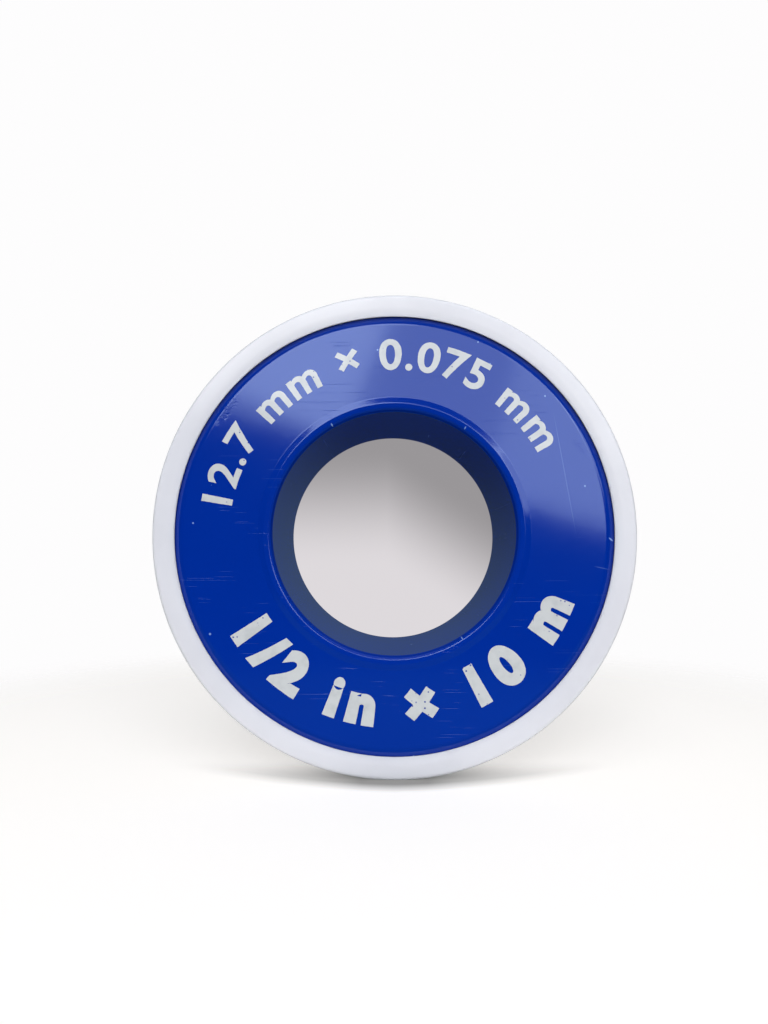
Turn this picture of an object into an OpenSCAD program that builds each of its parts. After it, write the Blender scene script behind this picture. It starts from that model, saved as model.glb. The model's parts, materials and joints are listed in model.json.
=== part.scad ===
// Thread seal tape roll: a spool of tape that snaps into a round cup cover.
// Sizes are in millimetres. The roll's axis lies along Y, its front faces -Y,
// and it stands on its rim. The origin is the middle of the bore.

/* [Tape] */
// Width of the tape: half an inch
tape_w = 12.7; // [6:0.1:25.4]
// Thickness of the tape
tape_t = 0.075; // [0.05:0.005:0.2]
// Length of the tape on the roll
tape_length = 10000; // [2000:500:20000]
// Angle that the loose outer turn covers, in degrees
loose_turn = 300; // [150:10:330]
// Angle over which its free end lifts, in degrees
tail_turn = 60; // [20:5:90]
// Share of the free space that the free end lifts across
tail_share = 0.5; // [0.2:0.05:0.7]

/* [Spool] */
// Diameter of the bore through the hub
bore_d = 25; // [18:0.5:40]
// Wall thickness of the hub tube
hub_wall = 1.2; // [1:0.1:3]
// Thickness of the front flange
flange_t = 1.7; // [1.1:0.1:3]
// Width of the bevel on the flange's edge
flange_bevel_w = 0.55; // [0.3:0.05:0.8]
// Depth of the bevel on the flange's edge
flange_bevel_h = 0.3; // [0.1:0.05:0.5]
// Radius of the fillet between the flange and the hub
hub_fillet = 0.2; // [0.1:0.05:0.25]
// Height of the raised lip round the bore
lip_h = 0.2; // [0.1:0.05:0.5]
// Width from the bore to the lip's crest
lip_w = 0.8; // [0.7:0.05:1.5]
// Radius of the lip's round on the bore side
lip_in_round = 0.45; // [0.3:0.05:0.65]
// Radius of the lip's round on the face side
lip_out_round = 0.8; // [0.5:0.05:1.2]
// Step from the hub down to its rear spigot
spigot_step = 0.5; // [0.3:0.05:0.6]
// Height of the snap bead on the spigot
bead_h = 0.2; // [0.1:0.05:0.25]
// Radius of the snap bead's round back
bead_round = 0.35; // [0.3:0.05:0.5]
// Radius of the round at the bore's rear mouth
mouth_round = 0.4; // [0.2:0.05:0.5]

/* [Cover] */
// Thickness of the cover's side wall
cover_wall = 2.34; // [2:0.01:4]
// Thickness of the cover's back
back_t = 1.5; // [1.2:0.1:3]
// Depth of the flange's face behind the crest of the rim
rim_recess = 0.3; // [0.2:0.1:2]
// Radius of the round on the rim's outside
rim_out_round = 0.7; // [0.3:0.05:1.2]
// Width of the gentle slope on the rim's inside
rim_slope_w = 0.9; // [0.3:0.05:1.2]
// Depth that the slope falls away from the rim's crest
rim_slope_h = 0.1; // [0.05:0.05:0.35]
// Radius of the round on the back's edge
back_round = 1.2; // [0.5:0.1:1.5]
// Radius of the fillet in the corner inside the cover
corner_fillet = 0.8; // [0.3:0.1:1.2]
// Radius of the rounds on the edge of the hole in the back
hole_round = 0.25; // [0.1:0.05:0.4]
// Width of the flat at the foot of the wall that the roll stands on
stand_w = 5.2; // [4.6:0.2:8]

/* [Gaps] */
// Free space outside the wound tape
slack = 1.78; // [1.5:0.01:5]
// Gap between the tape's first turn and the hub
wind_gap = 0.03; // [0.01:0.01:0.1]
// Gap between the loose turn and the turns below it
turn_gap = 0.06; // [0.04:0.01:0.1]
// Gap beside the tape at each edge
side_gap = 0.4; // [0.3:0.05:1]
// Gap between the flange's edge and the cover
flange_gap = 0.1; // [0.1:0.02:0.5]
// Gap between the snap bead and the hole it turns in
spin_gap = 0.05; // [0.03:0.01:0.2]
// Gap between the hub's shoulder and the cover's back
shoulder_gap = 0.1; // [0.05:0.05:0.3]
// How far the hub's end lies inside the back
end_gap = 0.1; // [0.05:0.05:0.3]

/* [Hidden] */
$fn = 120;
// overlap of the shapes that cut
cut = 0.2;
// step of the loose turn's outline, in degrees
turn_step = 4;

bore_r = bore_d / 2;
hub_r = bore_r + hub_wall;
pack_in_r = hub_r + wind_gap;
// the tape's side area, spread as a ring
pack_r = sqrt(pow(pack_in_r, 2) + tape_length * tape_t / PI);
cover_in_r = pack_r + slack;
cover_r = cover_in_r + cover_wall;
flange_r = cover_in_r - flange_gap;

// height of the axis above the flat that the roll stands on
stand_h = sqrt(pow(cover_r, 2) - pow(stand_w / 2, 2));

// depths behind the crest of the rim
face_a = rim_recess;
lip_a = face_a - lip_h;
flange_back_a = face_a + flange_t;
tape_a = flange_back_a + side_gap;
back_in_a = tape_a + tape_w + side_gap;
width = back_in_a + back_t;
shoulder_a = back_in_a - shoulder_gap;
hub_end_a = width - end_gap;

// the lip's crest, and where its outside meets the flange's face
lip_crest_r = bore_r + lip_w;
lip_foot_r = lip_crest_r + sqrt(pow(lip_out_round, 2) - pow(lip_out_round - lip_h, 2));

// the rear spigot, its bead and the hole they turn in
spigot_r = hub_r - spigot_step;
bead_r = spigot_r + bead_h;
bead_a = (back_in_a + hub_end_a) / 2;
hole_r = bead_r + spin_gap;

// the loose turn's free end
tail_lift = tail_share * slack;

// radius of the loose turn's inside at an angle from its start
function ease(s) = s * s * (3 - 2 * s);
function tail_at(t) = max(0, (t - loose_turn + tail_turn) / tail_turn);
function turn_r(t) = pack_r + turn_gap + tail_lift * ease(tail_at(t));
function polar(r, t) = [r * cos(t), r * sin(t)];

// lays a profile of radius and depth round the roll's axis
module turned() {
    rotate([-90, 0, 0])
        translate([0, 0, -width / 2])
            rotate_extrude()
                children();
}

// a ring's section between two radii and two depths
module band(r0, r1, a0, a1) {
    translate([r0, a0])
        square([r1 - r0, a1 - a0]);
}

// the piece between a corner and an arc: a round takes it off, a fillet adds it;
// sx and sy point from the corner towards the arc's centre
module corner_piece(r, a, radius, sx, sy) {
    translate([r, a])
        scale([sx, sy])
            difference() {
                translate([-cut, -cut])
                    square(radius + cut);
                translate([radius, radius])
                    circle(radius);
            }
}

// what a bevel takes off a front edge; side points from the edge into the solid
module bevel_piece(r, a, w, h, side) {
    polygon([[r - side * cut, a - cut], [r + side * w * (1 + cut / h), a - cut],
        [r, a + h], [r - side * cut, a + h]]);
}

module cover_profile() {
    difference() {
        union() {
            band(cover_in_r, cover_r, 0, width);
            band(hole_r, cover_r, back_in_a, width);
            corner_piece(cover_in_r, back_in_a, corner_fillet, -1, -1);
        }
        corner_piece(cover_r, 0, rim_out_round, -1, 1);
        bevel_piece(cover_in_r, 0, rim_slope_w, rim_slope_h, 1);
        corner_piece(cover_r, width, back_round, -1, -1);
        corner_piece(hole_r, width, hole_round, 1, -1);
        corner_piece(hole_r, back_in_a, hole_round, 1, 1);
    }
}

module lip_profile() {
    intersection() {
        band(bore_r, lip_foot_r + cut, lip_a, face_a);
        union() {
            band(bore_r, lip_crest_r, lip_a, face_a);
            translate([lip_crest_r, lip_a + lip_out_round])
                circle(lip_out_round);
        }
    }
}

module spool_profile() {
    difference() {
        union() {
            lip_profile();
            band(bore_r, flange_r, face_a, flange_back_a);
            band(bore_r, hub_r, face_a, shoulder_a);
            band(bore_r, spigot_r, face_a, hub_end_a);
            corner_piece(hub_r, flange_back_a, hub_fillet, 1, 1);
            intersection() {
                translate([bead_r - bead_round, bead_a])
                    circle(bead_round);
                band(bore_r + mouth_round, bead_r + cut, back_in_a, hub_end_a);
            }
        }
        corner_piece(bore_r, lip_a, lip_in_round, 1, 1);
        bevel_piece(flange_r, face_a, flange_bevel_w, flange_bevel_h, -1);
        corner_piece(bore_r, hub_end_a, mouth_round, 1, -1);
    }
}

// white cup: rounded rim, side wall, a back with a hole, and a narrow flat to stand on
module cover() {
    color("white")
        difference() {
            turned()
                cover_profile();
            translate([-stand_w, -width, -stand_h - cover_wall])
                cube([2 * stand_w, 2 * width, cover_wall]);
        }
}

// blue reel: hub, front flange, lip round the bore and rear spigot
module spool() {
    color("mediumblue")
        turned()
            spool_profile();
}

// the wound tape, as one ring of its turns
module tape_pack() {
    color("whitesmoke")
        turned()
            band(pack_in_r, pack_r, tape_a, tape_a + tape_w);
}

// the loose outer turn, with its free end lifted off the roll
module tape_end() {
    angles = [for (t = [0 : turn_step : loose_turn]) t];
    last = len(angles) - 1;
    inside = [for (t = angles) polar(turn_r(t), t)];
    outside = [for (i = [last : -1 : 0]) polar(turn_r(angles[i]) + tape_t, angles[i])];
    color("gainsboro")
        rotate([-90, 0, 0])
            translate([0, 0, tape_a - width / 2])
                linear_extrude(tape_w)
                    polygon(concat(inside, outside));
}

cover();
spool();
tape_pack();
tape_end();
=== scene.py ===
# %% [markdown]
# # A roll of thread seal tape
#
# The roll has three visible parts: a blue spool with the tape wound on it, a
# white cup that covers the tape, and the tape itself. The solid model already
# fixes where each part is and how it moves. This lesson loads that model as a
# frame, and then builds finer pieces around it with Geometry Nodes, because
# nearly every shape here follows a rule: a profile turned about an axis, a
# strip wound in a spiral, and figures printed along an arc.

# %% Load the solid model
import json
import math

import bpy
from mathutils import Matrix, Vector


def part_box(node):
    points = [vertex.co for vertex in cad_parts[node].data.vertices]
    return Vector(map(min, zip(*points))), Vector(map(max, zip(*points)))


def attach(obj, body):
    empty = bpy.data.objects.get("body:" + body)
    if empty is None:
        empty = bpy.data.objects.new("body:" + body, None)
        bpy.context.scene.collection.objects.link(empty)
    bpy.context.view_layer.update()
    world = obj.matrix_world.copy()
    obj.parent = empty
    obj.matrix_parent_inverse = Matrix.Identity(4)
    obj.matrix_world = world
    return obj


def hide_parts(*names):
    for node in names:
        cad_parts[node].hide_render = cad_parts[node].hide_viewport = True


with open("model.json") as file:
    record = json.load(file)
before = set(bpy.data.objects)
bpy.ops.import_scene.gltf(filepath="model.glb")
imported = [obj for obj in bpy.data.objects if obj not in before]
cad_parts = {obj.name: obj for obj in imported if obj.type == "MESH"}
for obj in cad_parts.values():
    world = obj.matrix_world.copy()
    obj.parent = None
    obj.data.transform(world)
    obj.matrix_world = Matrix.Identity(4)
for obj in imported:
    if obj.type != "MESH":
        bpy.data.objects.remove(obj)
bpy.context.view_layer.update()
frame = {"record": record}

# %% [markdown]
# ## Sizes
#
# Everything is in metres. The roll's axis lies along Y and its front faces -Y.
# Radii and the depth behind the front rim are read from the frame's boxes where
# a box shows them. The others, such as the rounds on the edges, follow the solid
# model, and are a little finer where the photograph shows more.

# %% Read the main sizes
MM = 0.001

cover_low, cover_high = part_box("cover")
spool_low, spool_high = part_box("spool")
wound_low, wound_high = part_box("tape_pack")
bore_mount = frame["record"]["mounts"][0]

front_y = cover_low.y
floor_z = cover_low.z
cover_radius = cover_high.x
cover_depth = cover_high.y - front_y
bore_radius = bore_mount["dims"]["r_mm"] * MM
lip_depth = spool_low.y - front_y
hub_end_depth = spool_high.y - front_y
wound_radius = wound_high.x
tape_width = wound_high.y - wound_low.y
tape_middle_y = (wound_high.y + wound_low.y) / 2

print(f"Cover {2 * cover_radius / MM:.2f} mm across and {cover_depth / MM:.2f} mm deep")
print(f"Bore {2 * bore_radius / MM:.2f} mm across")
print(f"Wound tape out to {wound_radius / MM:.2f} mm, {tape_width / MM:.2f} mm wide")

# %% [markdown]
# ## The camera
#
# The photograph was taken from close in front, a little below the roll's middle
# and tilted slightly upwards, with a wide lens. That is why the far end of the
# bore looks so much smaller than its near end. The place and lens come from
# fitting the visible circles of the roll.

# %% Set up the camera
LENS = 23.966
CAMERA_PLACE = (-0.754 * MM, -77.772 * MM, -2.585 * MM)
DEGREES_UP, DEGREES_LEFT = 3.817, 0.247

camera_data = bpy.data.cameras.new("camera")
camera_data.sensor_fit = "AUTO"
camera_data.sensor_width = 36.0
camera_data.lens = LENS
camera_data.clip_start = 0.001
camera_data.clip_end = 10.0
camera_data.dof.use_dof = False
camera = bpy.data.objects.new("camera", camera_data)
camera.location = CAMERA_PLACE
camera.rotation_euler = (math.radians(90 + DEGREES_UP), 0.0, math.radians(DEGREES_LEFT))
bpy.context.scene.collection.objects.link(camera)
bpy.context.scene.camera = camera
print(f"Camera {-camera.location.y / MM:.1f} mm in front, {camera_data.lens:.1f} mm lens")

# %% [markdown]
# ## Helpers for node trees
#
# Shader trees and geometry trees are built the same way: add a node, set its
# plain values, and link the sockets that other nodes feed. Two small functions
# do that for both, so that the recipes below stay short.


# %% Make node helpers
def set_inputs(tree, node, inputs):
    """Fill inputs by name or number: a socket is linked, a plain value is copied."""
    for name, value in dict(inputs).items():
        socket = node.inputs[name]
        if isinstance(value, bpy.types.NodeSocket):
            tree.links.new(value, socket)
        else:
            socket.default_value = value


def add_node(tree, kind, inputs=(), **settings):
    """Add a node, set its options and fill its inputs."""
    made = tree.nodes.new(kind)
    for name, value in settings.items():
        setattr(made, name, value)
    set_inputs(tree, made, inputs)
    return made


def calc(tree, operation, *values):
    """One Math node on numbers or sockets; gives its output socket."""
    inputs = dict(enumerate(values))
    return add_node(tree, "ShaderNodeMath", inputs, operation=operation).outputs[0]


def between(tree, value, low, high, start=0.0, end=1.0):
    """Carry a value that runs from low to high smoothly over to start and end."""
    inputs = {"Value": value, "From Min": low, "From Max": high}
    inputs.update({"To Min": start, "To Max": end})
    made = add_node(tree, "ShaderNodeMapRange", inputs, interpolation_type="SMOOTHSTEP")
    return made.outputs["Result"]


def blend_colour(tree, share, first, second):
    """Mix two colours; a share of 1 gives the second."""
    inputs = {0: share, 6: first, 7: second}
    return add_node(tree, "ShaderNodeMix", inputs, data_type="RGBA").outputs[2]


def noise(tree, coords, scale, detail=2.0, roughness=0.5):
    """Soft noise in space, about one blob in 1 / scale metres."""
    inputs = {"Vector": coords, "Scale": scale, "Detail": detail, "Roughness": roughness}
    return add_node(tree, "ShaderNodeTexNoise", inputs).outputs["Fac"]


print("Node helpers are ready")

# %% [markdown]
# ## Blue plastic
#
# The spool is moulded in a deep, glossy blue. Its large face isn't a perfect
# mirror: it has slow waves from cooling in the mould, a fine grain, hairline
# scratches, a few dust specks and some worn spots. A plain blue colour would
# look like paint, so each of these gets its own layer. All of them read Object
# coordinates, so that they stay on the part when it moves.


# %% Start a finish
def new_finish(name):
    """A new material, with its tree, its shader and its Object coordinates."""
    finish = bpy.data.materials.new(name)
    finish.use_nodes = True
    tree = finish.node_tree
    shader = tree.nodes["Principled BSDF"]
    place = tree.nodes.new("ShaderNodeTexCoord").outputs["Object"]
    return finish, tree, shader, place


def add_bump(tree, height, depth, normal=None):
    """A bump of a given depth in metres, on top of an earlier one."""
    inputs = {"Height": height, "Distance": depth, "Strength": 1.0}
    if normal is not None:
        inputs["Normal"] = normal
    return add_node(tree, "ShaderNodeBump", inputs).outputs["Normal"]


print("A finish can be started and can get bumps")


# %% Scatter scratches and specks
def stretched(tree, place, turn, scale):
    """Coordinates that are turned about Y and stretched, for streaks and scratches."""
    inputs = {"Vector": place, "Rotation": (0.0, math.radians(turn), 0.0), "Scale": scale}
    return add_node(tree, "ShaderNodeMapping", inputs).outputs["Vector"]


def scratches(tree, place, turn, length, spacing, share):
    """Hairlines along one direction, as a mask from 0 to 1; share is how many show."""
    drawn_out = stretched(tree, place, turn, (1 / length, 1.0, 1 / spacing))
    lines = noise(tree, drawn_out, scale=1.0, detail=1.0)
    patches = noise(tree, place, scale=260.0, detail=1.0)
    hair = between(tree, lines, 1 - share, 1 - share + 0.02)
    return calc(tree, "MULTIPLY", hair, between(tree, patches, 0.52, 0.62))


def specks(tree, place, spacing, size, share):
    """Scattered dots, as a mask from 0 to 1; share is how many of the cells have one."""
    cells = add_node(tree, "ShaderNodeTexVoronoi", {"Vector": place, "Scale": 1 / spacing})
    chance = add_node(tree, "ShaderNodeSeparateColor", {0: cells.outputs["Color"]})
    shown = calc(tree, "LESS_THAN", chance.outputs["Red"], share)
    reach = calc(tree, "MULTIPLY", chance.outputs["Green"], size / spacing)
    dot = calc(tree, "LESS_THAN", cells.outputs["Distance"], reach)
    return calc(tree, "MULTIPLY", shown, dot)


print("Scratches and specks can be scattered")

# %% [markdown]
# Noise puts its flaws anywhere. The real face also has some single marks with places of their
# own: a long scratch, nicks on the lip and at the edge, specks, and two spots where the gloss is
# worn. Each one is a small ellipse on the face. The nicks on the lip are light ticks, which are
# painted glints where the nicks catch the light.

# %% Place single marks
face_depth = 0.3 * MM
face_y = front_y + face_depth
MARK_REACH = 0.5 * MM

# Each row is x, z, half length and half width in mm, turn in degrees, strength.
LIGHT_MARKS_AND_GLINTS = [
    (17.50, 5.95, 7.30, 0.06, 80.5, 0.14),
    (21.10, -3.65, 0.95, 0.06, 12.0, 0.16),
    (22.10, -0.75, 0.36, 0.10, 38.0, 0.85),
    # These three rows are nicks on the lip, drawn as painted glints.
    (-6.42, 11.06, 0.25, 0.09, 60.0, 0.75),
    (7.30, 10.73, 0.22, 0.08, 120.0, 0.60),
    (6.82, -10.70, 0.22, 0.08, 57.0, 0.60),
    (15.59, 14.07, 0.12, 0.12, 0.0, 0.60),
    (9.94, 17.44, 0.14, 0.14, 0.0, 0.50),
    (8.72, 19.77, 0.12, 0.12, 0.0, 0.55),
    (19.53, 4.72, 0.13, 0.13, 0.0, 0.60),
    (-20.59, 0.93, 0.12, 0.12, 0.0, 0.55),
    (-18.66, -10.31, 0.15, 0.15, 0.0, 0.60),
]
WORN_MARKS = [
    (-17.20, 12.65, 2.20, 0.60, -53.0, 1.0),
    (18.90, 8.80, 1.20, 0.50, 62.0, 0.4),
]


def marks(tree, place, rows):
    """A mask of single ellipses on the face, from rows such as those above."""
    mask = 0.0
    for x, z, half_length, half_width, turn, strength in rows:
        inputs = {"Vector": place, "Location": (x * MM, face_y, z * MM),
                  "Rotation": (0.0, math.radians(turn), 0.0),
                  "Scale": (half_length * MM, MARK_REACH, half_width * MM)}
        local = add_node(tree, "ShaderNodeMapping", inputs, vector_type="TEXTURE")
        away = add_node(tree, "ShaderNodeVectorMath", {0: local.outputs[0]}, operation="LENGTH")
        spot = between(tree, away.outputs["Value"], 0.5, 1.0, strength, 0.0)
        mask = calc(tree, "MAXIMUM", mask, spot)
    return mask


print(len(LIGHT_MARKS_AND_GLINTS), "light marks and", len(WORN_MARKS), "worn spots on the face")

# %% Mix the blue plastic
BLUE_DEEP = (0.000, 0.0215, 0.262, 1.0)
BLUE_LIGHT = (0.000, 0.0258, 0.289, 1.0)
BLUE_SCUFF = (0.060, 0.130, 0.480, 1.0)
# The dust colour also paints the glints on the nicks of the lip.
DUST_AND_GLINT = (0.300, 0.450, 0.750, 1.0)
BLUE_TINT = (0.66, 0.775, 1.0, 1.0)
BLUE_ROUGHNESS, GRAIN_ROUGHNESS, SCRATCH_ROUGHNESS = 0.075, 0.05, 0.20
SCRATCHES_SHOW, DUST_SHOWS = 0.35, 0.6
WORN_TURN = -53.0

blue_plastic, tree, shader, place = new_finish("blue_plastic")
clouds = noise(tree, place, scale=110.0, detail=3.0)
grain = noise(tree, place, scale=2600.0)
waves = noise(tree, place, scale=150.0, detail=1.0)
hairlines = calc(
    tree, "MAXIMUM",
    scratches(tree, place, turn=12.0, length=9 * MM, spacing=0.05 * MM, share=0.30),
    scratches(tree, place, turn=78.0, length=12 * MM, spacing=0.06 * MM, share=0.28),
)
dust = specks(tree, place, spacing=1.9 * MM, size=0.14 * MM, share=0.16)
light_marks_and_glints = marks(tree, place, LIGHT_MARKS_AND_GLINTS)
worn_lines = noise(tree, stretched(tree, place, WORN_TURN, (0.3, 1.0, 1.0)), scale=5200.0)
worn = calc(tree, "MULTIPLY", marks(tree, place, WORN_MARKS),
            between(tree, worn_lines, 0.50, 0.62))

colour = blend_colour(tree, clouds, BLUE_DEEP, BLUE_LIGHT)
colour = blend_colour(tree, calc(tree, "MULTIPLY", hairlines, SCRATCHES_SHOW), colour, BLUE_SCUFF)
colour = blend_colour(tree, calc(tree, "MULTIPLY", dust, DUST_SHOWS), colour, DUST_AND_GLINT)
# Light marks are scratches and specks, and also painted glints on the nicks of the lip.
colour = blend_colour(tree, light_marks_and_glints, colour, DUST_AND_GLINT)
roughness = calc(tree, "MULTIPLY_ADD", grain, GRAIN_ROUGHNESS, BLUE_ROUGHNESS)
roughness = calc(tree, "MULTIPLY_ADD", hairlines, SCRATCH_ROUGHNESS, roughness)
bump = add_bump(tree, waves, depth=0.010 * MM)
bump = add_bump(tree, grain, depth=0.0012 * MM, normal=bump)
bump = add_bump(tree, hairlines, depth=-0.004 * MM, normal=bump)
bump = add_bump(tree, worn, depth=-0.012 * MM, normal=bump)
set_inputs(tree, shader, {
    "Base Color": colour, "Roughness": roughness, "Normal": bump,
    "IOR": 1.55, "Specular Tint": BLUE_TINT,
})
print("Blue plastic:", len(tree.nodes), "nodes")

# %% [markdown]
# ## White plastic
#
# The cup is a faintly cool white with a softer gloss than the spool. It shows
# slow waves, a little haze and a few hairlines. The colour changes only slightly,
# because white plastic hides its flaws well, but without any change it would look
# like snow. Light also sinks in a little and comes out again nearby, and that
# softens the shading.

# %% Mix the white plastic
WHITE_CLEAN = (0.742, 0.726, 0.743, 1.0)
WHITE_HAZE = (0.707, 0.692, 0.710, 1.0)
WHITE_SCUFF = (0.560, 0.570, 0.600, 1.0)
WHITE_TINT = (1.0, 0.92, 0.80, 1.0)
WHITE_ROUGHNESS, WHITE_GRAIN = 0.17, 0.08
SCUFFS_SHOW = 0.25

white_plastic, tree, shader, place = new_finish("white_plastic")
clouds = noise(tree, place, scale=130.0, detail=4.0)
grain = noise(tree, place, scale=2200.0)
waves = noise(tree, place, scale=170.0, detail=1.0)
hairlines = scratches(tree, place, turn=35.0, length=7 * MM, spacing=0.06 * MM, share=0.28)

colour = blend_colour(tree, between(tree, clouds, 0.35, 0.75), WHITE_CLEAN, WHITE_HAZE)
colour = blend_colour(tree, calc(tree, "MULTIPLY", hairlines, SCUFFS_SHOW), colour, WHITE_SCUFF)
bump = add_bump(tree, waves, depth=0.012 * MM)
bump = add_bump(tree, grain, depth=0.0015 * MM, normal=bump)
set_inputs(tree, shader, {
    "Base Color": colour, "Normal": bump,
    "Roughness": calc(tree, "MULTIPLY_ADD", grain, WHITE_GRAIN, WHITE_ROUGHNESS),
    "IOR": 1.48, "Specular Tint": WHITE_TINT, "Subsurface Weight": 1.0,
    "Subsurface Radius": (1.0, 1.0, 1.0), "Subsurface Scale": 1.0 * MM,
})
print("White plastic:", len(tree.nodes), "nodes")

# %% [markdown]
# ## Turned pieces
#
# The spool and the cup are both turned shapes: one closed profile carried round
# the axis. A profile is easiest to write as its corners, each with the radius
# of its round, just as it would be dimensioned on a drawing. A short function
# replaces every corner by an arc. Extra points beside each arc keep the flat
# faces flat when they are shaded smooth.


# %% Round the corners of a profile
def rounded_profile(corners, arc_step=8.0, guard=0.06 * MM):
    """Points (radius, depth) of a closed profile, from corners (radius, depth, round)."""
    points = []
    for i, (radius, depth, bend) in enumerate(corners):
        corner = Vector((radius, depth))
        before = Vector(corners[i - 1][:2]) - corner
        after = Vector(corners[(i + 1) % len(corners)][:2]) - corner
        u, v = before.normalized(), after.normalized()
        opening = u.angle(v)
        reach = bend / math.tan(opening / 2)
        centre = corner + (u + v).normalized() * (bend / math.sin(opening / 2))
        first, last = corner + u * reach, corner + v * reach
        steps = max(2, math.ceil(math.degrees(math.pi - opening) / arc_step))
        if before.length > reach + 2 * guard:
            points.append(first + u * guard)
        for k in range(steps + 1):
            share = k / steps
            way = (first - centre).normalized().slerp((last - centre).normalized(), share)
            points.append(centre + way * bend)
        if after.length > reach + 2 * guard:
            points.append(last + v * guard)
    return points


print("A profile's corners can be rounded")

# %% [markdown]
# The cup's profile starts at the thin lip of its rim. It runs out over the rim,
# back along the wall, in along the back to the hole, and then along the inside to
# a shallow undercut behind the lip, where the edge of the spool lies.

# %% Write the cover's profile
cover_wall = 2.39 * MM
cover_inside = cover_radius - cover_wall
back_inside = cover_depth - 1.5 * MM
hole_radius = 13.45 * MM
cover_corners = [
    (cover_inside, 0.08 * MM, 0.03 * MM),
    (cover_inside + 0.85 * MM, 0.0, 2.5 * MM),
    (cover_radius - 0.09 * MM, 0.0, 0.35 * MM),
    (cover_radius, 1.5 * MM, 2.0 * MM),
    (cover_radius, cover_depth, 1.2 * MM),
    (hole_radius, cover_depth, 0.25 * MM),
    (hole_radius, back_inside, 0.25 * MM),
    (cover_inside, back_inside, 0.8 * MM),
    (cover_inside, 2.2 * MM, 0.3 * MM),
    (cover_inside + 0.30 * MM, 1.2 * MM, 0.3 * MM),
    (cover_inside + 0.28 * MM, 0.7 * MM, 0.1 * MM),
]
cover_profile = rounded_profile(cover_corners)
print("Cover profile:", len(cover_profile), "points")

# %% [markdown]
# The spool's profile has more corners. From the front inwards they are the low
# lip round the bore, the flat face that carries the print, the bevelled edge of
# the flange, the hub under the tape, and at the back a thin spigot with a bead
# that snaps into the hole of the cup. The edge of the flange lies just under the
# thin lip of the cup's rim, so that only a fine dark line shows between them.

# %% Write the spool's profile
flange_back = 2.0 * MM
flange_edge = 22.53 * MM
hub_radius = 13.7 * MM
shoulder_depth = back_inside - 0.1 * MM
spigot_radius = 13.2 * MM
bead_radius = 13.4 * MM
bead_depth = 16.2 * MM
spool_corners = [
    (bore_radius + 0.01 * MM, lip_depth + 0.62 * MM, 0.30 * MM),
    (bore_radius + 0.17 * MM, lip_depth + 0.26 * MM, 0.16 * MM),
    (12.86 * MM, lip_depth + 0.11 * MM, 0.25 * MM),
    (13.34 * MM, lip_depth + 0.06 * MM, 0.28 * MM),
    (13.97 * MM, face_depth, 0.20 * MM),
    (21.73 * MM, face_depth, 1.0 * MM),
    (flange_edge, face_depth + 0.22 * MM, 0.06 * MM),
    (flange_edge, flange_back, 0.12 * MM),
    (hub_radius, flange_back, 0.2 * MM),
    (hub_radius, shoulder_depth, 0.1 * MM),
    (spigot_radius, shoulder_depth, 0.1 * MM),
    (spigot_radius, bead_depth - 0.30 * MM, 0.1 * MM),
    (bead_radius, bead_depth - 0.10 * MM, 0.12 * MM),
    (bead_radius, bead_depth + 0.10 * MM, 0.12 * MM),
    (spigot_radius, bead_depth + 0.30 * MM, 0.1 * MM),
    (spigot_radius, hub_end_depth, 0.1 * MM),
    (bore_radius, hub_end_depth, 0.4 * MM),
]
spool_profile = rounded_profile(spool_corners)
print("Spool profile:", len(spool_profile), "points")

# %% [markdown]
# The tree takes a mesh that is only the profile's outline. Mesh to Curve makes
# it a curve, and Curve to Mesh carries it round a circle. The circle lies in
# the XY plane, so a Transform node turns the axis to Y at the end.


# %% Build the turning tree
def new_geometry_tree(name, sizes):
    """A geometry tree with named inputs; sizes holds (name, kind of socket) pairs."""
    tree = bpy.data.node_groups.new(name, "GeometryNodeTree")
    rows = [("Geometry", "NodeSocketGeometry")] + sizes
    rows.append(("Material", "NodeSocketMaterial"))
    for label, kind in rows:
        tree.interface.new_socket(label, in_out="INPUT", socket_type=kind)
    tree.interface.new_socket("Geometry", in_out="OUTPUT", socket_type="NodeSocketGeometry")
    return tree, tree.nodes.new("NodeGroupInput").outputs


def end_tree(tree, given, geometry):
    """Close a tree with Realize Instances and Set Material."""
    real = add_node(tree, "GeometryNodeRealizeInstances", {0: geometry}).outputs[0]
    inputs = {"Geometry": real, "Material": given["Material"]}
    done = add_node(tree, "GeometryNodeSetMaterial", inputs).outputs[0]
    add_node(tree, "NodeGroupOutput", {0: done})


turning, given = new_geometry_tree(
    "turned piece",
    [("Segments", "NodeSocketInt"), ("Path Radius", "NodeSocketFloat"),
     ("Front", "NodeSocketFloat")],
)
outline = add_node(turning, "GeometryNodeMeshToCurve", {"Mesh": given["Geometry"]})
inward = calc(turning, "MULTIPLY", given["Path Radius"], -1.0)
shift = add_node(turning, "ShaderNodeCombineXYZ", {"X": inward})
section = add_node(turning, "GeometryNodeTransform",
                   {"Geometry": outline.outputs[0], "Translation": shift.outputs[0]})
path = add_node(turning, "GeometryNodeCurvePrimitiveCircle",
                {"Resolution": given["Segments"], "Radius": given["Path Radius"]})
swept = add_node(turning, "GeometryNodeCurveToMesh",
                 {"Curve": path.outputs[0], "Profile Curve": section.outputs[0]})
front = add_node(turning, "ShaderNodeCombineXYZ", {"Y": given["Front"]})
laid = add_node(turning, "GeometryNodeTransform",
                {"Geometry": swept.outputs[0], "Translation": front.outputs[0],
                 "Rotation": (math.radians(90), 0.0, 0.0)})
smooth = add_node(turning, "GeometryNodeSetShadeSmooth", {"Geometry": laid.outputs[0]})
end_tree(turning, given, smooth.outputs[0])
print("Turning tree:", len(turning.nodes), "nodes")


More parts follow.
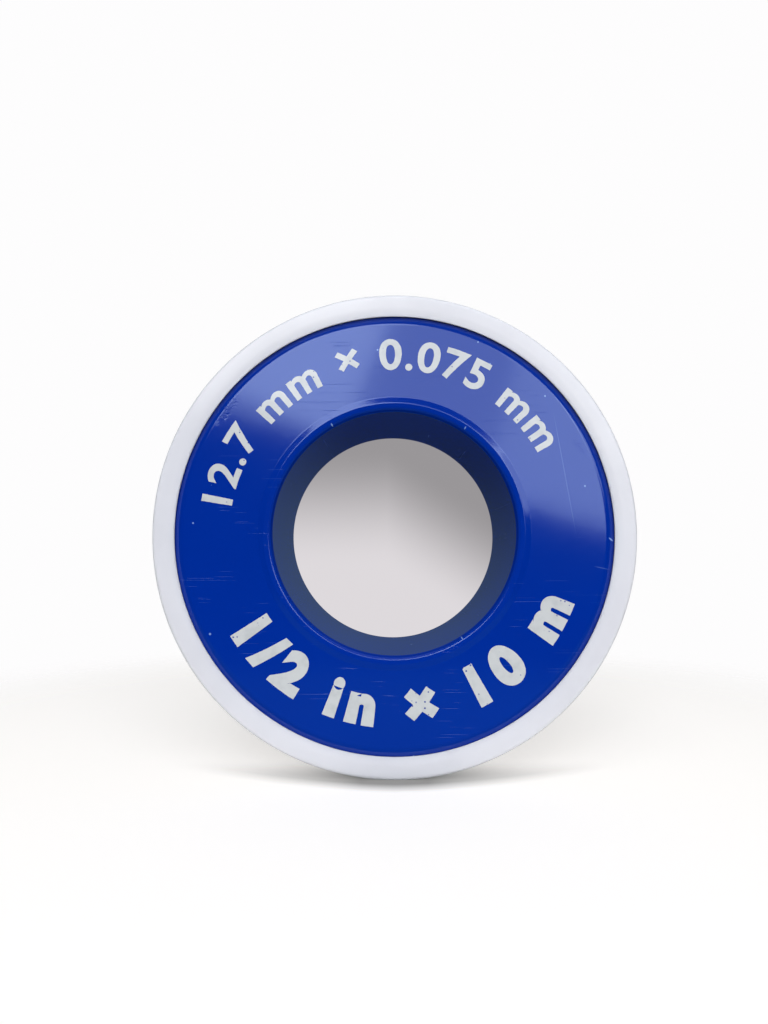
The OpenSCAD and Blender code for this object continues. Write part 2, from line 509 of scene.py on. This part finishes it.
# %% Run a tree on a mesh
def make_piece(name, start, tree, values):
    """Run a geometry tree on a start mesh and keep the result as a plain mesh."""
    maker = bpy.data.objects.new(name, start)
    bpy.context.scene.collection.objects.link(maker)
    modifier = maker.modifiers.new(tree.name, "NODES")
    modifier.node_group = tree
    for item in tree.interface.items_tree:
        if item.in_out == "INPUT" and item.name in values:
            modifier[item.identifier] = values[item.name]
    graph = bpy.context.evaluated_depsgraph_get()
    mesh = bpy.data.meshes.new_from_object(maker.evaluated_get(graph))
    maker.modifiers.remove(modifier)
    maker.data = mesh
    mesh.name = name
    return maker


def outline_mesh(name, points):
    """A mesh of one closed loop of edges, from (radius, depth) points."""
    mesh = bpy.data.meshes.new(name)
    edges = [(i, (i + 1) % len(points)) for i in range(len(points))]
    mesh.from_pydata([(radius, depth, 0.0) for radius, depth in points], edges, [])
    return mesh


print("Pieces can be made from outlines")

# %% [markdown]
# A real rim and a real table give a little where they touch. The cup therefore
# gets a small flat at its foot: every point that would lie below the floor is
# lifted to it.

# %% Turn the cover and the spool
TURN_SEGMENTS = 480
PATH_RADIUS = 18 * MM
turn_values = {"Segments": TURN_SEGMENTS, "Path Radius": PATH_RADIUS, "Front": front_y}
cover_shell = make_piece("cover_shell", outline_mesh("cover_outline", cover_profile),
                         turning, {**turn_values, "Material": white_plastic})
spool_shell = make_piece("spool_shell", outline_mesh("spool_outline", spool_profile),
                         turning, {**turn_values, "Material": blue_plastic})
for vertex in cover_shell.data.vertices:
    vertex.co.z = max(vertex.co.z, floor_z)
for piece in (cover_shell, spool_shell):
    print(piece.name, len(piece.data.polygons), "faces")

# %% [markdown]
# ## Attach the shells
#
# Each shell replaces the plain solid that it was built around and rides on that
# solid's body, so that the joints move it.

# %% Attach the cover and the spool
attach(cover_shell, "cover")
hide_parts("cover")
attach(spool_shell, "reel")
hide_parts("spool")
print("Cover and spool are attached")

# %% [markdown]
# ## Seal tape
#
# The tape is a thin, soft, matte white film. It is stretched when it is made,
# which leaves fine streaks along its length. On the roll they run round the
# axis, so the noise is read in turned coordinates: the angle counts little and
# the place across the width counts much.

# %% Mix the tape's finish
TAPE_WHITE = (0.860, 0.860, 0.850, 1.0)
TAPE_SHADE = (0.720, 0.725, 0.730, 1.0)
TAPE_ROUGHNESS, STREAK_ROUGHNESS = 0.50, 0.15
ANGLE_LENGTH = 0.9 * MM


def distance(tree, first, second):
    """How far a place is from an axis, by its two coordinates across that axis."""
    squares = [calc(tree, "POWER", value, 2.0) for value in (first, second)]
    return calc(tree, "SQRT", calc(tree, "ADD", *squares))


seal_tape, tree, shader, place = new_finish("seal_tape")
parts = add_node(tree, "ShaderNodeSeparateXYZ", {0: place}).outputs
angle = calc(tree, "ARCTAN2", parts["Z"], parts["X"])
turned_place = add_node(tree, "ShaderNodeCombineXYZ", {
    "X": calc(tree, "MULTIPLY", angle, ANGLE_LENGTH), "Y": parts["Y"],
    "Z": distance(tree, parts["X"], parts["Z"]),
}).outputs[0]
streaks = noise(tree, turned_place, scale=3200.0, detail=3.0, roughness=0.6)
bands = noise(tree, turned_place, scale=500.0)
shade = calc(tree, "MULTIPLY", between(tree, streaks, 0.35, 0.75),
             between(tree, bands, 0.2, 0.8))
bump = add_bump(tree, bands, depth=0.020 * MM)
bump = add_bump(tree, streaks, depth=0.006 * MM, normal=bump)
set_inputs(tree, shader, {
    "Base Color": blend_colour(tree, shade, TAPE_WHITE, TAPE_SHADE), "Normal": bump,
    "Roughness": calc(tree, "MULTIPLY_ADD", streaks, STREAK_ROUGHNESS, TAPE_ROUGHNESS),
    "IOR": 1.35,
})
print("Seal tape:", len(tree.nodes), "nodes")

# %% [markdown]
# The wound tape is one strip in a flat spiral of some ninety turns. A ring would
# look the same from far away, but the edge of the pack shows its turns, and they
# never lie quite level. So a Spiral node gives the path, noise along its length
# lets it wander sideways a little, and a thin rectangle is carried along it. The
# film fills nine tenths of a turn's room, so that the turns don't touch.

# %% Build the winding tree
winding, given = new_geometry_tree(
    "wound tape",
    [("Turns", "NodeSocketFloat"), ("Steps", "NodeSocketInt"),
     ("Inner Radius", "NodeSocketFloat"), ("Outer Radius", "NodeSocketFloat"),
     ("Width", "NodeSocketFloat"), ("Thickness", "NodeSocketFloat"),
     ("Wander", "NodeSocketFloat"), ("Middle", "NodeSocketFloat")],
)
spiral = add_node(winding, "GeometryNodeCurveSpiral",
                  {"Resolution": given["Steps"], "Rotations": given["Turns"],
                   "Start Radius": given["Inner Radius"],
                   "End Radius": given["Outer Radius"], "Height": 0.0})
length = winding.nodes.new("GeometryNodeSplineParameter").outputs["Length"]
drift = add_node(winding, "ShaderNodeTexNoise",
                 {"W": length, "Scale": 9.0, "Detail": 3.0}, noise_dimensions="1D")
centred = calc(winding, "SUBTRACT", drift.outputs["Fac"], 0.5)
sideways = add_node(winding, "ShaderNodeCombineXYZ",
                    {"Z": calc(winding, "MULTIPLY", centred, given["Wander"])})
uneven = add_node(winding, "GeometryNodeSetPosition",
                  {"Geometry": spiral.outputs[0], "Offset": sideways.outputs[0]})
strip = add_node(winding, "GeometryNodeCurvePrimitiveQuadrilateral",
                 {"Width": given["Thickness"], "Height": given["Width"]})
wound = add_node(winding, "GeometryNodeCurveToMesh",
                 {"Curve": uneven.outputs[0], "Profile Curve": strip.outputs[0],
                  "Fill Caps": True})
middle = add_node(winding, "ShaderNodeCombineXYZ", {"Y": given["Middle"]})
laid = add_node(winding, "GeometryNodeTransform",
                {"Geometry": wound.outputs[0], "Translation": middle.outputs[0],
                 "Rotation": (math.radians(90), 0.0, 0.0)})
end_tree(winding, given, laid.outputs[0])
print("Winding tree:", len(winding.nodes), "nodes")

# %% Wind the tape
TAPE_THICKNESS = 0.075 * MM
FILM_SHARE = 0.9
wound_inside = 13.73 * MM
half_tape = TAPE_THICKNESS / 2
turns = (wound_radius - wound_inside) / TAPE_THICKNESS
tape_roll = make_piece("tape_roll", bpy.data.meshes.new("start"), winding, {
    "Turns": turns, "Steps": 96, "Inner Radius": wound_inside + half_tape,
    "Outer Radius": wound_radius - half_tape, "Width": tape_width,
    "Thickness": FILM_SHARE * TAPE_THICKNESS, "Wander": 0.35 * MM, "Middle": tape_middle_y,
    "Material": seal_tape,
})
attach(tape_roll, "reel")
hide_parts("tape_pack")
print(f"Wound tape: {turns:.1f} turns, {len(tape_roll.data.polygons)} faces")

# %% [markdown]
# The last turn is loose: it lies on the pack and its free end lifts off, ready
# for a finger. A flat grid is bent round the axis by a rule for its radius, with
# a slight ripple towards the free edge, and then gets its thickness.

# %% Write the rule of the loose turn
LOOSE_TURN = math.radians(300)
TAIL_TURN = math.radians(60)
RIPPLE, RIPPLES, RIPPLE_LEAN = 0.05 * MM, 9, 2.2
CUT_FROM, CUT_SLANT, CUT_WAVE = 0.9, 0.012, 0.006
loose_lift = 0.86 * MM
loose_inside = wound_radius + 0.06 * MM


def loose_radius(angle, across):
    """Inside radius of the loose turn; across runs from -1 to 1 over its width."""
    share = max(0.0, (angle - LOOSE_TURN + TAIL_TURN) / TAIL_TURN)
    rise = share * share * (3 - 2 * share)
    ripple = RIPPLE * math.sin(angle * RIPPLES + across * RIPPLE_LEAN) * share
    return loose_inside + loose_lift * rise + ripple


def loose_point(column, row, columns, rows):
    """A point on the loose turn, from its place in the grid; its end is cut unevenly."""
    across = 2 * row / rows - 1
    angle = LOOSE_TURN * column / columns
    end_cut = CUT_SLANT * across + CUT_WAVE * math.sin(across * 7)
    angle += end_cut * max(0.0, column / columns - CUT_FROM) * 10
    radius = loose_radius(angle, across)
    edge = tape_middle_y + across * tape_width / 2
    return (radius * math.cos(angle), edge, -radius * math.sin(angle))


print(f"The free end lifts off the pack by {loose_lift / MM:.2f} mm")

# %% Bend the loose turn
COLUMNS, ROWS = 300, 24
points = [loose_point(column, row, COLUMNS, ROWS)
          for column in range(COLUMNS + 1) for row in range(ROWS + 1)]
faces = []
for column in range(COLUMNS):
    for row in range(ROWS):
        corner = column * (ROWS + 1) + row
        faces.append((corner, corner + 1, corner + ROWS + 2, corner + ROWS + 1))
tail_mesh = bpy.data.meshes.new("tape_tail")
tail_mesh.from_pydata(points, [], faces)
tail_mesh.materials.append(seal_tape)
tail_mesh.shade_smooth()
tape_tail = bpy.data.objects.new("tape_tail", tail_mesh)
bpy.context.scene.collection.objects.link(tape_tail)
outward = Vector(points[0]) - Vector((0.0, points[0][1], 0.0))
side = 1.0 if tail_mesh.polygons[0].normal.dot(outward) > 0 else -1.0
solid = tape_tail.modifiers.new("thickness", "SOLIDIFY")
solid.thickness = TAPE_THICKNESS
solid.offset = side
graph = bpy.context.evaluated_depsgraph_get()
tape_tail.data = bpy.data.meshes.new_from_object(tape_tail.evaluated_get(graph))
tape_tail.modifiers.clear()
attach(tape_tail, "loose_end")
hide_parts("tape_end")
print("Loose turn:", len(tape_tail.data.polygons), "faces, outward side", side)

# %% [markdown]
# ## Printed sizes
#
# The face of the spool carries light grey print on two arcs. Here it gives only
# plain sizes: the width and thickness of the tape above, and the width in
# inches and the length below in a heavy face. The ink is screen printed: it is
# slightly raised, a little rougher than the plastic, and has pinholes where the
# blue shows through.

# %% Mix the printing ink
INK_LIGHT = (0.575, 0.575, 0.560, 1.0)
INK_SHADE = (0.500, 0.505, 0.495, 1.0)
INK_ROUGHNESS, INK_UNEVEN = 0.12, 0.15
HOLES_SHOW = 0.85

printing_ink, tree, shader, place = new_finish("printing_ink")
clouds = noise(tree, place, scale=900.0, detail=3.0)
patches = noise(tree, place, scale=300.0)
holes = specks(tree, place, spacing=0.42 * MM, size=0.20 * MM, share=0.30)
holes = calc(tree, "MULTIPLY", holes, between(tree, patches, 0.48, 0.58))
colour = blend_colour(tree, between(tree, clouds, 0.4, 0.8), INK_LIGHT, INK_SHADE)
colour = blend_colour(tree, calc(tree, "MULTIPLY", holes, HOLES_SHOW), colour, BLUE_DEEP)
set_inputs(tree, shader, {
    "Base Color": colour, "Normal": add_bump(tree, clouds, depth=0.004 * MM),
    "Roughness": calc(tree, "MULTIPLY_ADD", clouds, INK_UNEVEN, INK_ROUGHNESS),
    "IOR": 1.5,
})
print("Printing ink:", len(tree.nodes), "nodes")

# %% [markdown]
# Geometry Nodes set the figures too. String to Curves gives their outlines on a
# straight line. Their own strokes are too thin, so each point of an outline is
# pushed outwards, and further at a sharp corner than along a straight edge. The
# outline is then cut into short steps and noise roughens it. At the end the line
# is bent to its arc, and the figures are filled and given the ink's thickness.

# %% Set the figures on a line
printing, given = new_geometry_tree(
    "printed arc",
    [("Text", "NodeSocketString"), ("Size", "NodeSocketFloat"),
     ("Spacing", "NodeSocketFloat"), ("Word Spacing", "NodeSocketFloat"),
     ("Weight", "NodeSocketFloat"), ("Stretch", "NodeSocketFloat"),
     ("Roughness", "NodeSocketFloat"), ("Arc Radius", "NodeSocketFloat"),
     ("Middle Angle", "NodeSocketFloat"), ("Side", "NodeSocketFloat"),
     ("Thickness", "NodeSocketFloat"), ("Face", "NodeSocketFloat")],
)
letters = add_node(printing, "GeometryNodeStringToCurves",
                   {"String": given["Text"], "Size": given["Size"],
                    "Character Spacing": given["Spacing"],
                    "Word Spacing": given["Word Spacing"]}, align_x="CENTER")
real = add_node(printing, "GeometryNodeRealizeInstances", {0: letters.outputs[0]})
wide = add_node(printing, "ShaderNodeCombineXYZ", {"X": given["Stretch"], "Y": 1.0, "Z": 1.0})
drawn = add_node(printing, "GeometryNodeTransform",
                 {"Geometry": real.outputs[0], "Scale": wide.outputs[0]})
fine = add_node(printing, "GeometryNodeSetSplineResolution",
                {"Geometry": drawn.outputs[0], "Resolution": 10})
corners = add_node(printing, "GeometryNodeResampleCurve",
                   {"Curve": fine.outputs[0]}, mode="EVALUATED")
print("Printing tree:", len(printing.nodes), "nodes for the outlines")

# %% Make the strokes heavier
SHARPEST = 0.45
position = printing.nodes.new("GeometryNodeInputPosition").outputs[0]
index = printing.nodes.new("GeometryNodeInputIndex").outputs[0]


def vector_calc(tree, operation, *values):
    """One Vector Math node on vectors; gives its first output."""
    inputs = dict(enumerate(values))
    return add_node(tree, "ShaderNodeVectorMath", inputs, operation=operation).outputs[0]


def step_direction(first, second):
    """Unit vector between two points of an outline, told by how far along they lie."""
    ends = []
    for shift in (first, second):
        other = add_node(printing, "GeometryNodeOffsetPointInCurve",
                         {"Point Index": index, "Offset": shift}).outputs["Point Index"]
        picked = add_node(printing, "GeometryNodeFieldAtIndex",
                          {"Index": other, "Value": position},
                          data_type="FLOAT_VECTOR", domain="POINT")
        ends.append(picked.outputs[0])
    step = vector_calc(printing, "SUBTRACT", ends[1], ends[0])
    return vector_calc(printing, "NORMALIZE", step)


arriving, leaving = step_direction(-1, 0), step_direction(0, 1)
both_ways = vector_calc(printing, "ADD", arriving, leaving)
along = vector_calc(printing, "NORMALIZE", both_ways)
outwards = vector_calc(printing, "CROSS_PRODUCT", along, (0.0, 0.0, 1.0))
straight = add_node(printing, "ShaderNodeVectorMath",
                    {0: along, 1: leaving}, operation="DOT_PRODUCT").outputs["Value"]
bend = calc(printing, "MAXIMUM", straight, SHARPEST)
mitre = calc(printing, "DIVIDE", given["Weight"], bend)
push = add_node(printing, "ShaderNodeVectorMath",
                {0: outwards, "Scale": mitre}, operation="SCALE")
heavy = add_node(printing, "GeometryNodeSetPosition",
                 {"Geometry": corners.outputs[0], "Offset": push.outputs[0]})
clean = add_node(printing, "GeometryNodeResampleCurve",
                 {"Curve": heavy.outputs[0], "Length": 0.05 * MM}, mode="LENGTH")
print("Printing tree:", len(printing.nodes), "nodes with the heavier strokes")

# %% Roughen, bend and fill the figures
rough = add_node(printing, "ShaderNodeTexNoise",
                 {"Vector": position, "Scale": 2400.0, "Detail": 2.0})
jitter = vector_calc(printing, "SUBTRACT", rough.outputs["Color"], (0.5, 0.5, 0.5))
jitter = add_node(printing, "ShaderNodeVectorMath",
                  {0: jitter, "Scale": given["Roughness"]}, operation="SCALE")
worn = add_node(printing, "GeometryNodeSetPosition",
                {"Geometry": clean.outputs[0], "Offset": jitter.outputs[0]})

place_on_line = add_node(printing, "ShaderNodeSeparateXYZ", {0: position}).outputs
swing = calc(printing, "DIVIDE", place_on_line["X"], given["Arc Radius"])
angle = calc(printing, "MULTIPLY_ADD", swing, given["Side"], given["Middle Angle"])
reach = calc(printing, "MULTIPLY_ADD", place_on_line["Y"], given["Side"], given["Arc Radius"])
on_arc = add_node(printing, "ShaderNodeCombineXYZ",
                  {"X": calc(printing, "MULTIPLY", reach, calc(printing, "SINE", angle)),
                   "Y": calc(printing, "MULTIPLY", reach, calc(printing, "COSINE", angle))})
bent = add_node(printing, "GeometryNodeSetPosition",
                {"Geometry": worn.outputs[0], "Position": on_arc.outputs[0]})
flat = add_node(printing, "GeometryNodeFillCurve", {"Curve": bent.outputs[0]})
raised = add_node(printing, "GeometryNodeExtrudeMesh",
                  {"Mesh": flat.outputs[0], "Offset Scale": given["Thickness"],
                   "Individual": False}, mode="FACES")
under = add_node(printing, "GeometryNodeFlipFaces", {"Mesh": flat.outputs[0]})
both = printing.nodes.new("GeometryNodeJoinGeometry")
printing.links.new(raised.outputs["Mesh"], both.inputs[0])
printing.links.new(under.outputs[0], both.inputs[0])
closed = add_node(printing, "GeometryNodeMergeByDistance",
                  {"Geometry": both.outputs[0], "Distance": 0.001 * MM})
face = add_node(printing, "ShaderNodeCombineXYZ", {"Y": given["Face"]})
laid = add_node(printing, "GeometryNodeTransform",
                {"Geometry": closed.outputs[0], "Translation": face.outputs[0],
                 "Rotation": (math.radians(90), 0.0, 0.0)})
end_tree(printing, given, laid.outputs[0])
print("Printing tree:", len(printing.nodes), "nodes")

# %% Print the two arcs
INK_SUNK = 0.010 * MM
INK_PROUD = 0.025 * MM
ink_values = {"Thickness": INK_SUNK + INK_PROUD, "Face": face_y + INK_SUNK,
              "Material": printing_ink}
size_print = make_piece("size_print", bpy.data.meshes.new("start"), printing, {
    **ink_values, "Text": "12.7 mm × 0.075 mm", "Size": 4.4 * MM, "Spacing": 1.12,
    "Word Spacing": 1.0, "Weight": 0.10 * MM, "Stretch": 1.0, "Roughness": 0.06 * MM,
    "Arc Radius": 16.95 * MM, "Middle Angle": math.radians(-11), "Side": 1.0,
})
length_print = make_piece("length_print", bpy.data.meshes.new("start"), printing, {
    **ink_values, "Text": "1/2 in × 10 m", "Size": 5.3 * MM, "Spacing": 1.30,
    "Word Spacing": 0.85, "Weight": 0.36 * MM, "Stretch": 1.15, "Roughness": 0.05 * MM,
    "Arc Radius": 19.3 * MM, "Middle Angle": math.radians(180 - 4), "Side": -1.0,
})
for piece in (size_print, length_print):
    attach(piece, "reel")
    print(piece.name, len(piece.data.polygons), "faces")

# %% [markdown]
# ## Floor
#
# The roll stands on a plain white floor. In the camera's view it should be as
# white as the background and still keep the roll's shadow, so it gets a little
# light of its own, mostly for camera rays, and fades out further away.

# %% Lay the floor
FLOOR_HALF = 0.4
floor_mesh = bpy.data.meshes.new("floor")
floor_corners = [(x * FLOOR_HALF, y * FLOOR_HALF, floor_z)
                 for x, y in ((-1, -1), (1, -1), (1, 1), (-1, 1))]
floor_mesh.from_pydata(floor_corners, [], [(0, 1, 2, 3)])
floor = bpy.data.objects.new("floor", floor_mesh)
bpy.context.scene.collection.objects.link(floor)
print(f"Floor at z {floor_z / MM:.2f} mm")

# %% [markdown]
# A rule in millimetres darkens the floor where the roll touches it: most at the
# contact line, and less to the sides and to the front.

# %% Shade the contact
SIDE_REACH, SIDE_CURVE = 14.0, 1.6
FRONT_REACH, FRONT_START = 3.35, 1.07
EDGE_CONTRAST = 1.4
SIDE_FADE, DARKEST = 11.0, 0.74
UNDER_START, UNDER_END, UNDER_SHARE = -7.0, -0.9, 0.97

floor_paint, tree, shader, place = new_finish("floor_paint")
parts = add_node(tree, "ShaderNodeSeparateXYZ", {0: place}).outputs
beside = calc(tree, "DIVIDE", calc(tree, "ABSOLUTE", parts["X"]), MM)
before = calc(tree, "DIVIDE", calc(tree, "SUBTRACT", front_y, parts["Y"]), MM)
spread = calc(tree, "POWER", calc(tree, "DIVIDE", beside, SIDE_REACH), SIDE_CURVE)
nearby = calc(tree, "MULTIPLY_ADD", before, -1 / FRONT_REACH, FRONT_START)
nearby = calc(tree, "SUBTRACT", nearby, spread)
nearby = calc(tree, "MAXIMUM", calc(tree, "MULTIPLY", nearby, EDGE_CONTRAST), 0.0)
nearby = calc(tree, "MINIMUM", nearby, 1.0)
depth = calc(tree, "EXPONENT", calc(tree, "DIVIDE", beside, -SIDE_FADE))
depth = calc(tree, "MINIMUM", depth, DARKEST)
under = between(tree, before, UNDER_START, UNDER_END, 0.0, UNDER_SHARE)
contact = calc(tree, "MULTIPLY", calc(tree, "MULTIPLY", nearby, depth), under)
print("Contact shade:", len(tree.nodes), "nodes")

# %% [markdown]
# In gloss the floor is only a faint tint, because it hardly shows in the blue
# face of the photograph.

# %% Paint the floor
FLOOR_WHITE = (0.605, 0.563, 0.515, 1.0)
FLOOR_DARK = (0.0, 0.0, 0.0, 1.0)
FLOOR_GLOSS = (0.05, 0.16, 0.14, 1.0)
FLOOR_LIFT, FLOOR_GLOW = 0.545, 0.28
FADE_START, FADE_END = 0.055, 0.100

rays = tree.nodes.new("ShaderNodeLightPath").outputs
painted = blend_colour(tree, contact, FLOOR_WHITE, FLOOR_DARK)
set_inputs(tree, shader, {"Base Color": painted, "Roughness": 0.9, "Specular IOR Level": 0.1})
# The floor glows with painted light of its own: strongly for camera rays, and weakly for all
# other rays, so that it also lights the roll from below, less where the contact shade lies.
own_light = calc(tree, "MULTIPLY_ADD", rays["Is Camera Ray"],
                 FLOOR_LIFT - FLOOR_GLOW, FLOOR_GLOW)
own_light = calc(tree, "MULTIPLY", own_light, calc(tree, "SUBTRACT", 1.0, contact))
lift = add_node(tree, "ShaderNodeEmission",
                {"Color": (1.0, 1.0, 1.0, 1.0), "Strength": own_light})
lifted = add_node(tree, "ShaderNodeAddShader", {0: shader.outputs[0], 1: lift.outputs[0]})
# In gloss the floor shows only this faint painted glow instead of its lit white.
faint = add_node(tree, "ShaderNodeEmission", {"Color": FLOOR_GLOSS, "Strength": 1.0})
in_gloss = add_node(tree, "ShaderNodeMixShader",
                    {0: rays["Is Glossy Ray"], 1: lifted.outputs[0], 2: faint.outputs[0]})
gone = tree.nodes.new("ShaderNodeBsdfTransparent").outputs[0]
fade = between(tree, distance(tree, parts["X"], parts["Y"]), FADE_START, FADE_END)
faded = add_node(tree, "ShaderNodeMixShader", {0: fade, 1: in_gloss.outputs[0], 2: gone})
set_inputs(tree, tree.nodes["Material Output"], {"Surface": faded.outputs[0]})
floor_mesh.materials.append(floor_paint)
print("Floor paint:", len(tree.nodes), "nodes")

# %% [markdown]
# ## Light
#
# One wide soft light stands in front, above the camera and a little to the
# right. Its reflection makes the pale sheen on the upper half of the blue face,
# and its lower edge gives the sheen its slanted end. The sheen is brighter at its
# ends than between them, so two narrower panels lie over the ends of the first.
# A small one further to the right shows in the slope of the lip. One more panel
# hangs right above them. It gives the same soft light but is kept out of
# reflections, so that the sheen keeps its height.


# %% Hang the key light
LIGHT_AWAY = 0.5


def hang_panel(name, width, height, energy, up, right, roll, colour):
    """An area light that faces the roll; up, right and roll are in degrees."""
    data = bpy.data.lights.new(name, "AREA")
    data.shape = "RECTANGLE"
    data.size, data.size_y = width, height
    data.energy = energy
    data.color = colour
    panel = bpy.data.objects.new(name, data)
    up, right = math.radians(up), math.radians(right)
    towards = Vector((math.cos(up) * math.sin(right),
                      -math.cos(up) * math.cos(right), math.sin(up)))
    panel.location = LIGHT_AWAY * towards
    facing = towards.to_track_quat("Z", "Y").to_euler()
    facing.rotate_axis("Z", math.radians(roll))
    panel.rotation_euler = facing
    panel.visible_camera = False
    bpy.context.scene.collection.objects.link(panel)
    print(name, "at", [round(x, 3) for x in panel.location])
    return panel


KEY_COLOUR = (0.93, 1.0, 1.10)
KEY_ROLL, FILL_ROLL = -18.4, -17.4

# Each row is name, width, height, power, degrees up, degrees to the right.
KEY_PANELS = [
    ("key", 0.47, 0.236, 0.95, 22.0, 2.0),
    ("key_left", 0.21, 0.214, 0.45, 26.3, -11.8),
    ("key_right", 0.14, 0.236, 0.15, 16.0, 20.5),
    ("key_side", 0.14, 0.130, 0.19, 16.0, 33.5),
]
for row in KEY_PANELS:
    hang_panel(*row, KEY_ROLL, KEY_COLOUR)
fill = hang_panel("fill", 0.47, 0.206, 0.76, 54.0, 2.0, FILL_ROLL, KEY_COLOUR)
fill.visible_glossy = False

# %% [markdown]
# A wider light hangs above. It is too high to show in the blue face. It brightens the floor and
# the top of the rim. The dark line where the roll touches the floor is painted shade in the
# floor's colour.

# %% Hang the top light
hang_panel("top", 0.50, 0.40, 0.22, 75.0, 27.0, 0.0, (1.0, 1.0, 1.0))

# %% [markdown]
# The world is white for the camera, so the background is white. Through the bore
# the photograph shows a soft grey shade that turns lighter below, so a small part
# of the background behind the roll is shaded in that way.

# %% Shade the view through the bore
SEEN_WHITE = 0.985
BORE_VIEW = (0.0, 0.999, 0.026)
BORE_VIEW_EDGE, BORE_VIEW_FULL = 0.9815, 0.987
SHADE_LIGHT, SHADE_DARK = 0.730, 0.32
LEAN = 0.65

world = bpy.context.scene.world or bpy.data.worlds.new("surroundings")
bpy.context.scene.world = world
world.use_nodes = True
tree = world.node_tree
tree.nodes.clear()
direction = tree.nodes.new("ShaderNodeTexCoord").outputs["Generated"]
parts = add_node(tree, "ShaderNodeSeparateXYZ", {0: direction}).outputs


def blend_level(tree, share, first, second):
    """Mix two levels; a share of 1 gives the second."""
    kept = calc(tree, "MULTIPLY", calc(tree, "SUBTRACT", 1.0, share), first)
    return calc(tree, "ADD", calc(tree, "MULTIPLY", share, second), kept)


rightwards = calc(tree, "MAXIMUM", parts["X"], 0.0)
slope = calc(tree, "MULTIPLY_ADD", rightwards, LEAN, parts["Z"])
shaded = between(tree, slope, -0.015, 0.165, SHADE_LIGHT, SHADE_DARK)
from_axis = add_node(tree, "ShaderNodeVectorMath",
                     {0: direction, 1: BORE_VIEW}, operation="DOT_PRODUCT")
hidden_spot = between(tree, from_axis.outputs["Value"], BORE_VIEW_EDGE, BORE_VIEW_FULL)
seen_level = blend_level(tree, hidden_spot, SEEN_WHITE, shaded)
print("View through the bore:", len(tree.nodes), "nodes")

# %% [markdown]
# Gloss sees a faint, bluish background behind the roll and beside it, and a dark
# room in front. All other light from the world is dim, and a little brighter from
# above.

# %% Set the surroundings
GLOSS_LOW, GLOSS_HIGH, GLOSS_BESIDE = 0.040, 0.19, 0.09
GLOW_LOW, GLOW_HIGH = 0.10, 0.25
SKY_WHITE = (1.0, 0.995, 1.0, 1.0)
SKY_SHADE = (1.0, 0.955, 0.985, 1.0)
SKY_GLOSS = (0.55, 0.85, 1.30, 1.0)

rays = tree.nodes.new("ShaderNodeLightPath").outputs
not_in_front = between(tree, parts["Y"], -0.80, -0.55)
behind = between(tree, parts["Y"], 0.70, 0.88)
glint = between(tree, slope, -0.15, 0.30, GLOSS_LOW, GLOSS_HIGH)
gloss_level = blend_level(tree, behind, GLOSS_BESIDE, glint)
gloss_level = calc(tree, "MULTIPLY", gloss_level, not_in_front)
glow_level = between(tree, parts["Z"], -0.4, 0.7, GLOW_LOW, GLOW_HIGH)

gloss_rays = calc(tree, "MAXIMUM", rays["Is Glossy Ray"], rays["Is Transmission Ray"])
level = blend_level(tree, gloss_rays, glow_level, gloss_level)
level = blend_level(tree, rays["Is Camera Ray"], level, seen_level)
sky_colour = blend_colour(tree, hidden_spot, SKY_WHITE, SKY_SHADE)
sky_colour = blend_colour(tree, gloss_rays, sky_colour, SKY_GLOSS)
sky = add_node(tree, "ShaderNodeBackground", {"Color": sky_colour, "Strength": level})
add_node(tree, "ShaderNodeOutputWorld", {"Surface": sky.outputs[0]})
bpy.context.scene.view_settings.view_transform = "Standard"
print("Surroundings:", len(tree.nodes), "nodes")
